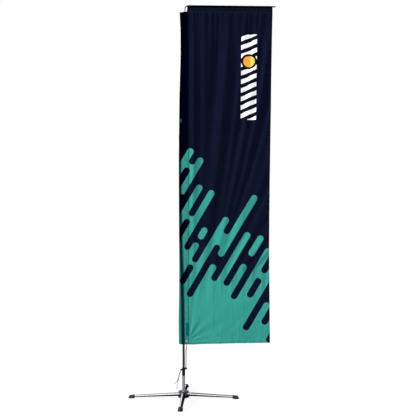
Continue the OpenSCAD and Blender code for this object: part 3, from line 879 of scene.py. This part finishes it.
def make_flag():
    """The printed sheet with the folded layers behind it."""
    u = refined_line(sheet.u)
    v = refined_line(sheet.v)
    points = add_wrinkles(refined(sheet.points), u, v)
    uvs = np.stack(np.meshgrid(u, v[-1] - v), axis=-1)
    rows, columns = points.shape[:2]
    notch, stitch, seam = 2 * sheet.notch_column, 2 * sheet.stitch_row, 2 * sheet.seam
    keep = np.ones((rows - 1, columns - 1), bool)
    keep[:stitch, :notch] = False
    front = grid_piece("flag_cloth", points, uvs, keep)

    back = points[stitch:, : seam + 3].copy()
    back[:, : seam + 1, 1] = -back[:, : seam + 1, 1]
    back[:, seam:, 1] = points[stitch:, seam : seam + 3, 1] + HEM_LIFT
    pinch = flat_near_grommet(back[..., 0], back[..., 2])
    back[:, 1 : seam + 1, 1] += (HEM_LIFT * pinch)[:, 1 : seam + 1]
    pocket = grid_piece("pole_pocket_back", back, uvs[stitch:, : seam + 3])

    over = points[: stitch + 3, notch:].copy()
    over[:stitch, :, 1] = -over[:stitch, :, 1]
    over[stitch:, :, 1] += HEM_LIFT
    hem = grid_piece("crossbar_hem_back", over, uvs[: stitch + 3, notch:])

    side_grid, side_cut = folded_edge(points[stitch:, -4:], uvs[stitch:, -4:], 1, (1, 0, 0))
    side = grid_piece("free_edge_hem", side_grid, side_cut)
    low_grid, low_cut = folded_edge(points[-4:], uvs[-4:], 0, (0, 0, -1))
    low = grid_piece("bottom_hem", low_grid[:, seam:], low_cut[:, seam:])

    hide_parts("flag_panel")
    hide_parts("pole_pocket")
    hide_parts("crossbar_pocket")
    layers = [pocket, hem, side, low]
    for piece in [front] + layers:
        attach(piece, "pole")
    return [front] + layers, points


flag_pieces, flag_points = make_flag()

TAB_THICKNESS = 0.0014
TAB_RIM = 0.0007
TAB_GAP = 0.0001


def make_tab():
    """The sewn reinforcement tab: a strip of webbing that follows the pocket's front."""
    low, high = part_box("reinforcement_tab")
    columns, rows = 9, 33
    across = np.linspace(low.x, high.x, columns)
    up = np.linspace(low.z, high.z, rows)
    near = flag_points[:, : 2 * sheet.seam + 3]
    grid = np.zeros((rows, columns, 3))
    for j, z in enumerate(up):
        line = near[np.argmin(np.abs(near[:, -1, 2] - z))]
        y = np.interp(across, line[:, 0], line[:, 1])
        grid[j] = np.column_stack([across, y, np.full(columns, z)])
    face = grid.copy()
    face[..., 1] -= TAB_THICKNESS
    face[[0, -1], :, 1] += TAB_THICKNESS - TAB_RIM
    face[:, [0, -1], 1] += TAB_THICKNESS - TAB_RIM
    uvs = np.stack(np.meshgrid(across - low.x, up - low.z), axis=-1)
    points = np.concatenate([face.reshape(-1, 3), (grid - (0, TAB_GAP, 0)).reshape(-1, 3)])
    faces = []
    count = rows * columns
    for j in range(rows - 1):
        for i in range(columns - 1):
            a = j * columns + i
            faces.append((a, a + 1, a + columns + 1, a + columns))
            faces.append((count + a, count + a + columns, count + a + columns + 1, count + a + 1))
    number = np.arange(count).reshape(rows, columns)
    rim_line = [*number[0], *number[1:, -1], *number[-1, -2::-1], *number[-2:0:-1, 0]]
    for a, b in zip(rim_line, rim_line[1:] + rim_line[:1]):
        faces.append((a, count + a, count + b, b))
    tab = new_object("reinforcement_webbing", points, faces, np.concatenate([uvs.reshape(-1, 2)] * 2))
    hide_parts("reinforcement_tab")
    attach(tab, "pole")
    return tab


tab = make_tab()

# ---------------------------------------------------------------- flag: printed cloth

NAVY = (0.0034, 0.0046, 0.0135)
# Painted shade: a darker copy of the navy, used in the pole pocket.
POCKET_NAVY_PAINTED_SHADE = (0.0002, 0.0003, 0.0065)
TEAL = (0.026, 0.215, 0.185)
WHITE = (0.86, 0.86, 0.87)
AMBER = (0.86, 0.40, 0.05)
LANE = 0.0533
LANE_TURN = math.radians(59.5)
FIRST_LANE_AT = -1.2187
PRINT_SCALE = 0.9225
PRINT_LEFT = -0.041
RAMP_REACH = 4.0
ALL = (0, RAMP_REACH)
# The print's lanes from the upper left to the lower right, by turns teal fingers on navy and navy fingers on
# teal. Each lane lists where along it its fingers start and end.
LANES = [
    [(0, 1.94)], [ALL], [], [ALL],
    [(0, 1.77)], [(0, 1.62), (1.71, 4)], [(1.46, 1.745)], [ALL],
    [(0, 1.55)], [(0, 1.26), (1.345, 4)], [(0, 1.56)], [(1.09, 4)],
    [(0, 1.13), (1.22, 1.27)], [(0.83, 0.955), (1.035, 4)], [(0, 1.43)], [(0.77, 1.2), (1.36, 4)],
    [(0, 1.045), (1.18, 1.7)], [(0.98, 4)], [(0, 1.41)], [(0.995, 4)],
    [(0, 1.17), (1.305, 1.44)], [(0.93, 4)], [(0, 1.38)], [(1.005, 1.13), (1.235, 4)],
    [ALL], [(0.757, 4)], [(0, 0.99)], [(0.87, 4)],
    [ALL], [(0.76, 4)], [ALL],
]


def lane_ramp(m, lane_share, which):
    """The start and end of each lane's finger number which, as two sockets."""
    made = m.node("ShaderNodeValToRGB", {0: lane_share})
    ramp = made.color_ramp
    ramp.interpolation = "CONSTANT"
    while len(ramp.elements) < len(LANES):
        ramp.elements.new(0.999)
    for number, fingers in enumerate(LANES):
        start, end = fingers[which] if which < len(fingers) else (RAMP_REACH, 0)
        ramp.elements[number].position = number / len(LANES)
        ramp.elements[number].color = (start / RAMP_REACH, end / RAMP_REACH, 0, 1)
    split = m.node("ShaderNodeSeparateColor", {0: made.outputs[0]})
    return [m.product(split.outputs[k], RAMP_REACH) for k in (0, 1)]


def teal_share(m, x, z):
    """1 where the print is teal."""
    turn_sin, turn_cos = math.sin(LANE_TURN), math.cos(LANE_TURN)
    across = m.sum_of(m.product(x, turn_sin), m.product(z, -turn_cos))
    along = m.sum_of(m.product(x, turn_cos), m.product(z, turn_sin))
    lanes = m.math("DIVIDE", m.math("SUBTRACT", across, FIRST_LANE_AT), LANE)
    number = m.math("FLOOR", lanes)
    share = m.math("DIVIDE", m.sum_of(number, 0.5), len(LANES), clamp=True)
    off = m.product(m.math("SUBTRACT", m.math("SUBTRACT", lanes, number), 0.5), LANE)
    cap = m.math("SQRT", m.math("SUBTRACT", (LANE / 2) ** 2, m.product(off, off)))
    fingers = []
    for which in (0, 1):
        start, end = lane_ramp(m, share, which)
        above = m.math("GREATER_THAN", m.sum_of(along, cap), start)
        below = m.math("LESS_THAN", m.math("SUBTRACT", along, cap), end)
        fingers.append(m.product(above, below))
    finger = m.largest(*fingers)
    even = m.math("SUBTRACT", 1, m.math("MODULO", number, 2))
    return m.math("COMPARE", finger, even, 0.5)


MOTIF_X = 0.517
MOTIF_Z = (2.28, 2.98)
MOTIF_WIDTH = 0.122
MOTIF_PITCH = 0.07
MOTIF_BAR = 0.52
MOTIF_SLANT = 0.45
DISC_Z = MOTIF_Z[1] - 0.22
DISC_RADIUS = 0.045
DISC_ROOM = 0.062


def disc_share(m, x, z, radius):
    """1 within a radius of the disc's centre."""
    dx = m.math("SUBTRACT", x, MOTIF_X)
    dz = m.math("SUBTRACT", z, DISC_Z)
    away = m.math("SQRT", m.sum_of(m.product(dx, dx), m.product(dz, dz)))
    return m.math("LESS_THAN", away, radius)


def motif_share(m, x, z):
    """1 on the plain geometric motif: a column of slanted bars, with room for a disc in its upper part."""
    inside = m.math("LESS_THAN", m.gap(x, MOTIF_X), MOTIF_WIDTH / 2)
    above = m.math("GREATER_THAN", z, MOTIF_Z[0])
    below = m.math("LESS_THAN", z, MOTIF_Z[1])
    slant = m.product(m.math("SUBTRACT", x, MOTIF_X), MOTIF_SLANT)
    height = m.math("SUBTRACT", m.sum_of(z, 10), slant)
    bars = m.math("LESS_THAN", m.math("FRACT", m.math("DIVIDE", height, MOTIF_PITCH)), MOTIF_BAR)
    outside = m.math("SUBTRACT", 1, disc_share(m, x, z, DISC_ROOM))
    return m.product(inside, above, below, bars, outside)


STITCH_LENGTH = 0.0032
STITCH_SHARE = 0.72
THREAD_WIDTH = 0.0012


def stitch_row(m, across, along, at):
    """A row of stitches at a place across the cloth: 1 on the thread."""
    near = m.math("LESS_THAN", m.gap(across, at), THREAD_WIDTH / 2)
    dash = m.math("LESS_THAN", m.math("FRACT", m.math("DIVIDE", along, STITCH_LENGTH)), STITCH_SHARE)
    return m.product(near, dash)


# Painted shade colour, multiplied into the cloth's print.
CLOTH_SHADE = (0.002, 0.035, 0.055)
CLOTH_THREAD = (0.02, 0.05, 0.075)
SIDE_HEM = 0.0125
LOW_HEM = 0.0145
KNIT_WIDTH = 0.0011
KNIT_HEIGHT = 0.0008


def print_colour(m, u, v):
    """The printed colour at a place on the cut cloth: lanes, the plain motif, uneven dye, and painted shade
    that darkens the navy in the pole pocket.
    """
    x = m.math("MULTIPLY_ADD", u, PRINT_SCALE, PRINT_LEFT)
    z = m.sum_of(v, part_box("flag_panel")[0].z)
    in_pocket = m.math("LESS_THAN", u, sheet.seam_u)
    # Painted shade: the navy in the pole pocket is darker.
    colour = m.mix(teal_share(m, x, z), m.mix(in_pocket, NAVY, POCKET_NAVY_PAINTED_SHADE), TEAL)
    colour = m.mix(motif_share(m, x, z), colour, WHITE)
    colour = m.mix(disc_share(m, x, z, DISC_RADIUS), colour, AMBER)
    dye = m.ranged(m.noise(3.0, 6), 0.3, 0.7, 0.93, 1.06)
    return m.mix(1.0, colour, m.grey(dye), "MULTIPLY")


def cloth_shadow(m, u, v, width):
    """Painted shade on the cloth: a shadow over the pole and the crossbar, and darker along its left fold, seam
    and hems.
    """
    pole_gap, bar_gap = m.attribute("pole_gap"), m.attribute("bar_gap")
    return m.largest(
        m.ranged(m.math("ABSOLUTE", m.sum_of(pole_gap, 0.0045)), 0.007, 0.025, 0.98, 0.0),
        m.ranged(pole_gap, -0.024, -0.006, 0.5, 0.0),
        m.ranged(m.math("ABSOLUTE", bar_gap), 0.009, 0.015, 0.95, 0.0),
        m.ranged(m.gap(u, sheet.seam_u), 0.0008, 0.0045, 0.3, 0.0),
        m.ranged(v, LOW_HEM - 0.0025, LOW_HEM + 0.002, 0.16, 0.0),
        m.ranged(m.math("SUBTRACT", width, u), SIDE_HEM - 0.0015, SIDE_HEM + 0.002, 0.15, 0.0),
    )


def printed_cloth():
    """Dye-printed knitted polyester: the print with painted shade, its seams with their stitches, and a fine
    knit.
    """
    m = Shade("printed_cloth", 0.6, Specular_IOR_Level=0.0)
    u, v = m.cut()
    width, length = float(sheet.u[-1]), float(sheet.v[-1])
    shaded = m.mix(cloth_shadow(m, u, v, width), print_colour(m, u, v), CLOTH_SHADE, "MULTIPLY")
    thread = m.largest(
        stitch_row(m, u, v, sheet.seam_u - 0.001),
        stitch_row(m, u, v, sheet.seam_u - 0.0052),
        stitch_row(m, v, u, LOW_HEM),
        stitch_row(m, u, v, width - SIDE_HEM),
        stitch_row(m, v, u, length - sheet.stitch_v),
        stitch_row(m, v, u, length - sheet.stitch_v - 0.006),
    )
    m.feed(Base_Color=m.mix(m.product(thread, 0.45), shaded, CLOTH_THREAD))
    m.feed(Roughness=m.ranged(m.noise(14, 5), 0.3, 0.7, 0.54, 0.68))
    knit = m.product(m.wave(u, KNIT_WIDTH), m.wave(v, KNIT_HEIGHT), 0.25)
    relief = m.sum_of(knit, m.product(thread, 1.6), m.noise(90, 3))
    m.bump(relief, 0.00035, 0.5)
    return m.material


WEAVE_PITCH = 0.0016
WEBBING_THREAD = (0.02, 0.2, 0.24)


def webbing(name, tint):
    """Woven webbing: a fine diagonal weave, a row of stitches along each side and two rows at each end."""
    m = Shade(name, 0.7, Specular_IOR_Level=0.02)
    u, v = m.cut()
    slants = m.sum_of(u, v), m.math("SUBTRACT", u, v)
    weave = m.product(*(m.wave(slant, WEAVE_PITCH) for slant in slants))
    low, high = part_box("reinforcement_tab")
    width, height = high.x - low.x, high.z - low.z
    ends = [stitch_row(m, v, u, place) for place in (0.004, 0.0055, height - 0.004, height - 0.0055)]
    sides = [stitch_row(m, u, v, place) for place in (0.003, width - 0.003)]
    thread = m.largest(*ends, *sides)
    plain = m.mix(1.0, tint, m.grey(m.ranged(weave, -1, 1, 0.6, 1.15)), "MULTIPLY")
    m.feed(Base_Color=m.mix(m.product(thread, 0.6), plain, WEBBING_THREAD))
    m.bump(m.sum_of(m.product(weave, 0.5), m.product(thread, 1.5)), 0.0003, 0.8)
    return m.material


cloth_material = printed_cloth()
for piece in flag_pieces:
    piece.data.materials.append(cloth_material)
tab.data.materials.append(webbing("tab_webbing", (0.001, 0.105, 0.137)))

# ---------------------------------------------------------------- rigid pieces

HUB_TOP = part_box("hub_upper_cap")[1].z + 0.0002
MATERIALS = {
    "hub_black": powder_coat("hub_black", (0.012, 0.0125, 0.014)),
    "hub_grey": powder_coat("hub_grey", (0.030, 0.032, 0.036), 0.4, (HUB_TOP, (0.2, 0.2, 0.21))),
    "zinc_steel": plated("zinc_steel", (0.40, 0.40, 0.39), 0.3),
    "bearing_steel": plated("bearing_steel", (0.72, 0.72, 0.73), 0.12, 0.4),
    "chromed_tube": chrome("chromed_tube", (0.21, 0.21, 0.215), 0.24),
    "chromed_leg": leg_chrome_painted_reflections("chromed_leg", (0.76, 0.75, 0.77), 0.16),
    "bush_plastic": moulded("bush_plastic", (0.6, 0.58, 0.52), 0.5, scuff=0.9),
    "foot_rubber": moulded("foot_rubber", (0.015, 0.019, 0.022), 0.62, depth=0.00016, scuff=2.2),
    "black_plastic": moulded("black_plastic", (0.006, 0.006, 0.0065), 0.45),
    "dark_aluminium": anodised("dark_aluminium", (0.021, 0.0195, 0.0185)),
    "ferrule_steel": plated("ferrule_steel", (0.12, 0.12, 0.125), 0.35),
    "rod_steel": plated("rod_steel", (0.011, 0.010, 0.009), 0.34),
    "crossbar_tube": plated("crossbar_tube", (0.012, 0.010, 0.008), 0.4),
    "grommet_brass": plated("grommet_brass", (0.92, 0.73, 0.50), 0.3),
    "hook_plastic": moulded("hook_plastic", (0.014, 0.014, 0.017), 0.4),
}
CORD_MATERIAL = braid("elastic_cord", (0.024, 0.023, 0.022), (0.008, 0.0075, 0.0075))
KNOT_MATERIAL = braid("elastic_knot", (0.02, 0.019, 0.018), (0.006, 0.006, 0.006))
for cord in cords:
    cord.data.materials.append(KNOT_MATERIAL if cord.name == "cord_knot_turns" else CORD_MATERIAL)


def finish_node(node, slot):
    """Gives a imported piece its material, smooth over its curves and sharp at its corners."""
    mesh = node.data
    mesh.materials.clear()
    mesh.materials.append(MATERIALS[slot])
    if "custom_normal" in mesh.attributes:
        mesh.attributes.remove(mesh.attributes["custom_normal"])
    mesh.polygons.foreach_set("use_smooth", [True] * len(mesh.polygons))
    mesh.update()
    weld = node.modifiers.new("weld", "WELD")
    weld.merge_threshold = 0.000005
    split = node.modifiers.new("split", "EDGE_SPLIT")
    split.split_angle = math.radians(32)


for row in frame["record"]["subparts"]:
    node = nodes[row["node"]]
    if not node.hide_render:
        finish_node(node, row["material_slot"])

# ---------------------------------------------------------------- floor and light


def make_stage():
    """A pale floor with a glow of its own, so that it stays white round the base."""
    bpy.ops.mesh.primitive_plane_add(size=60, location=(0, 0, 0))
    floor = bpy.context.object
    floor.name = "floor"
    m = Shade("floor", 0.8, Specular_IOR_Level=0.0, Emission_Strength=0.83)
    patches = m.ranged(m.noise(2.2, 4), 0.3, 0.7)
    m.feed(Base_Color=m.mix(patches, (0.14, 0.14, 0.14), (0.13, 0.13, 0.13)))
    floor.data.materials.append(m.material)


def make_sun(name, towards, strength, spread):
    """Even light from one direction, given as the way to the light."""
    sun = bpy.data.objects.new(name, bpy.data.lights.new(name, "SUN"))
    scene.collection.objects.link(sun)
    sun.data.energy = strength
    sun.data.angle = math.radians(spread)
    sun.rotation_euler = Vector(towards).to_track_quat("Z", "Y").to_euler()


def make_world():
    """A white studio, darker overhead so that the folds and the bright metal have something to show."""
    world = bpy.data.worlds.new("studio")
    scene.world = world
    world.use_nodes = True
    tree = world.node_tree
    place = tree.nodes.new("ShaderNodeTexCoord")
    split = tree.nodes.new("ShaderNodeSeparateXYZ")
    ramp = tree.nodes.new("ShaderNodeValToRGB")
    tree.links.new(place.outputs["Generated"], split.inputs[0])
    tree.links.new(split.outputs[2], ramp.inputs[0])
    tree.links.new(ramp.outputs[0], tree.nodes["Background"].inputs[0])
    low_stop, high_stop = ramp.color_ramp.elements
    low_stop.position, low_stop.color = 0.27, (1, 1, 1, 1)
    high_stop.position, high_stop.color = 0.5, (0.15, 0.15, 0.155, 1)
    scene.view_settings.view_transform = "Standard"


make_stage()
make_sun("overhead", (0.0, -0.05, 1.0), 2.75, 45)
make_sun("key", (-0.93, -0.28, 0.30), 5.3, 14)
make_sun("front", (0.10, -1.0, 0.35), 0.7, 60)
make_world()
